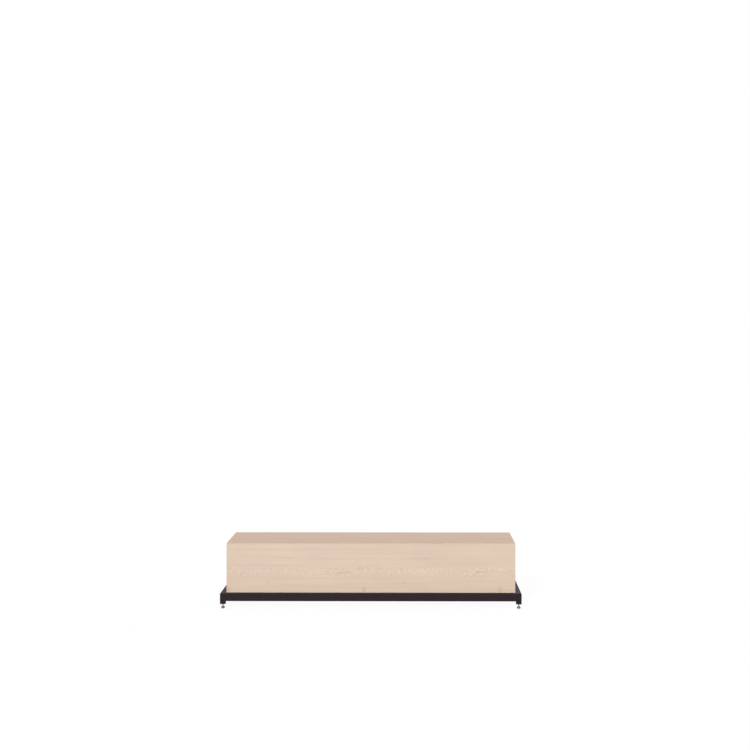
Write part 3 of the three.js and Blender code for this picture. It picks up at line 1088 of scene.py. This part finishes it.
def plated_material(name, dull, bright):
    """Plated steel: fine crystals of the plating under a thin cloudy film, dull rather than polished."""
    material, tree, shader = new_material(name, Metallic=1.0)
    place = own_place(tree)
    crystals = add_node(
        tree, "ShaderNodeTexVoronoi", {"Vector": place, "Scale": crystals_per_metre}
    ).outputs["Color"]
    film = stretched_noise(tree, place, (240, 240, 240), 3.0)
    mottled = maths(tree, "MULTIPLY_ADD", crystals, crystal_roughness, plating_least_roughness)
    link_finish(
        tree,
        shader,
        mix_colours(tree, film, dull, bright),
        maths(tree, "MULTIPLY_ADD", film, film_roughness, mottled),
        film,
        plating_relief,
        plating_relief_strength,
    )
    return material


zinc_material = plated_material("dull zinc plating", zinc_dull, zinc_bright)
screw_low, screw_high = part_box("hold_down_screw_front_1")
seat = cross_low.z
flange = turned(
    (
        (0, seat - screw_flange_height),
        (screw_flange_radius, seat - screw_flange_height),
        (screw_flange_radius, seat),
        (screw_radius, seat),
        (screw_radius, box_low.z),
        (0, box_low.z),
    ),
    flange_edge,
)
head = hexagon_head(screw_low.z, seat - screw_flange_height / 2, screw_flats)
wood_thread = threaded_rod(
    box_low.z, screw_high.z, screw_root, screw_radius, screw_pitch, screw_point
)
screw = join_shapes(flange, head, wood_thread)

for side in ("front", "back"):
    for number in range(1, cross_tubes + 1):
        name = f"hold_down_screw_{side}_{number}"
        finish_piece(
            placed(screw, middle_of(name)),
            f"flanged_{name}",
            "plinth",
            (zinc_material,),
            (name,),
        )


# Threaded inserts
# Square plugs of black nylon, driven into the leg stubs from below. Their flange closes the tube, fins
# inside grip its walls, and a thread in the middle carries the foot.
insert_edge = 0.0004
nylon_relief = 0.00003
nylon_black = linear(26, 25, 28)
nylon_worn = linear(48, 46, 50)
nylon_grey = linear(96, 89, 87)
nylon_pale = linear(128, 121, 118)
nylon_gloss = 0.4
nylon_least_roughness = 0.45
mould_roughness = 0.2


def nylon_material(name, colour, rubbed):
    """Moulded nylon: a fine even texture from the mould, a little paler where it was rubbed."""
    material, tree, shader = new_material(name, Specular_IOR_Level=nylon_gloss)
    place = own_place(tree)
    grain = stretched_noise(tree, place, (1800, 1800, 1800))
    cloud = ramp(tree, stretched_noise(tree, place, (90, 90, 90), 3.0), 0.42, 0.75)
    link_finish(
        tree,
        shader,
        mix_colours(tree, cloud, colour, rubbed),
        maths(tree, "MULTIPLY_ADD", grain, mould_roughness, nylon_least_roughness),
        grain,
        nylon_relief,
    )
    return material


black_nylon = nylon_material("black nylon", nylon_black, nylon_worn)
for corner in corners:
    name = f"threaded_insert_{corner}"
    shape = fresh_copy(name)
    ease(shape, sharp_edges(shape), insert_edge, 3)
    finish_piece(shape, f"moulded_{name}", "plinth", (black_nylon,), (name,))


# Foot studs
# An M8 stud of zinc-plated steel with a 13 mm hexagon for the spanner. Its lower end is a neck that goes
# through the cup and is riveted over inside, so that the stud turns while the foot stands still.
stud_radius = 0.004
stud_root = 0.00335
stud_pitch = 0.00125
stud_chamfer = 0.001
stud_flats = 0.013
collar_height = 0.003
neck_radius = 0.0032
rivet_radius = 0.0054
rivet_height = 0.002
rivet_edge = 0.0004
running_gap = 0.0003

stud_low, stud_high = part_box("foot_stud_front_left")
cup_low, cup_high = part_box("foot_cup_front_left")
collar_low = cup_high.z + running_gap
collar_high = collar_low + collar_height
rivet = turned(
    (
        (0, stud_low.z),
        (rivet_radius, stud_low.z),
        (rivet_radius, stud_low.z + rivet_height),
        (neck_radius, stud_low.z + rivet_height),
        (neck_radius, collar_low + running_gap),
        (0, collar_low + running_gap),
    ),
    rivet_edge,
)
collar = hexagon_head(collar_low, collar_high, stud_flats)
thread = threaded_rod(
    collar_high - running_gap, stud_high.z, stud_root, stud_radius, stud_pitch, stud_chamfer
)
stud = join_shapes(rivet, collar, thread)

for corner in corners:
    finish_piece(
        placed(stud, middle_of(f"foot_stud_{corner}")),
        f"riveted_foot_stud_{corner}",
        f"stud_{corner}",
        (zinc_material,),
        (f"foot_stud_{corner}",),
    )


# Foot cups and glides
# Each foot is a cup pressed from 1.6 mm steel, with a dull dark plating, over a grey nylon glide. The glide
# stands out 1.5 mm below the cup's rim and rests on the floor.
cup_wall = 0.0016
cup_shoulder_radius = 0.0095
cup_shoulder_drop = 0.002
cup_edge = 0.0006
glide_edge = 0.0003
glide_chamfer = 0.0008
dark_dull = linear(112, 93, 88)
dark_bright = linear(144, 123, 117)
dark_plating = plated_material("dull dark plating", dark_dull, dark_bright)
grey_nylon = nylon_material("grey nylon", nylon_grey, nylon_pale)

cup_hole = neck_radius + running_gap
cup_radius = (cup_high.x - cup_low.x) / 2
inner_radius = cup_radius - cup_wall
shoulder = cup_high.z - cup_shoulder_drop
plate_under = cup_high.z - cup_wall
cup = turned(
    (
        (cup_hole, cup_high.z),
        (cup_hole, plate_under),
        (cup_shoulder_radius - cup_wall, plate_under),
        (inner_radius, shoulder - cup_wall),
        (inner_radius, cup_low.z),
        (cup_radius, cup_low.z),
        (cup_radius, shoulder),
        (cup_shoulder_radius, cup_high.z),
        (cup_hole, cup_high.z),
    ),
    cup_edge,
)
floor_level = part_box("foot_glide_front_left")[0].z
glide_radius = inner_radius - running_gap
well_radius = rivet_radius + running_gap
well_floor = plate_under - 2 * running_gap - rivet_height
glide = turned(
    (
        (0, floor_level),
        (glide_radius - glide_chamfer, floor_level),
        (glide_radius, floor_level + glide_chamfer),
        (glide_radius, shoulder - cup_wall - running_gap),
        (cup_shoulder_radius - cup_wall - running_gap, plate_under),
        (well_radius, plate_under),
        (well_radius, well_floor),
        (0, well_floor),
    ),
    glide_edge,
)

for corner in corners:
    place = middle_of(f"foot_cup_{corner}")
    finish_piece(
        placed(cup, place),
        f"pressed_foot_cup_{corner}",
        f"base_{corner}",
        (dark_plating,),
        (f"foot_cup_{corner}",),
    )
    finish_piece(
        placed(glide, place),
        f"moulded_foot_glide_{corner}",
        f"base_{corner}",
        (grey_nylon,),
        (f"foot_glide_{corner}",),
    )
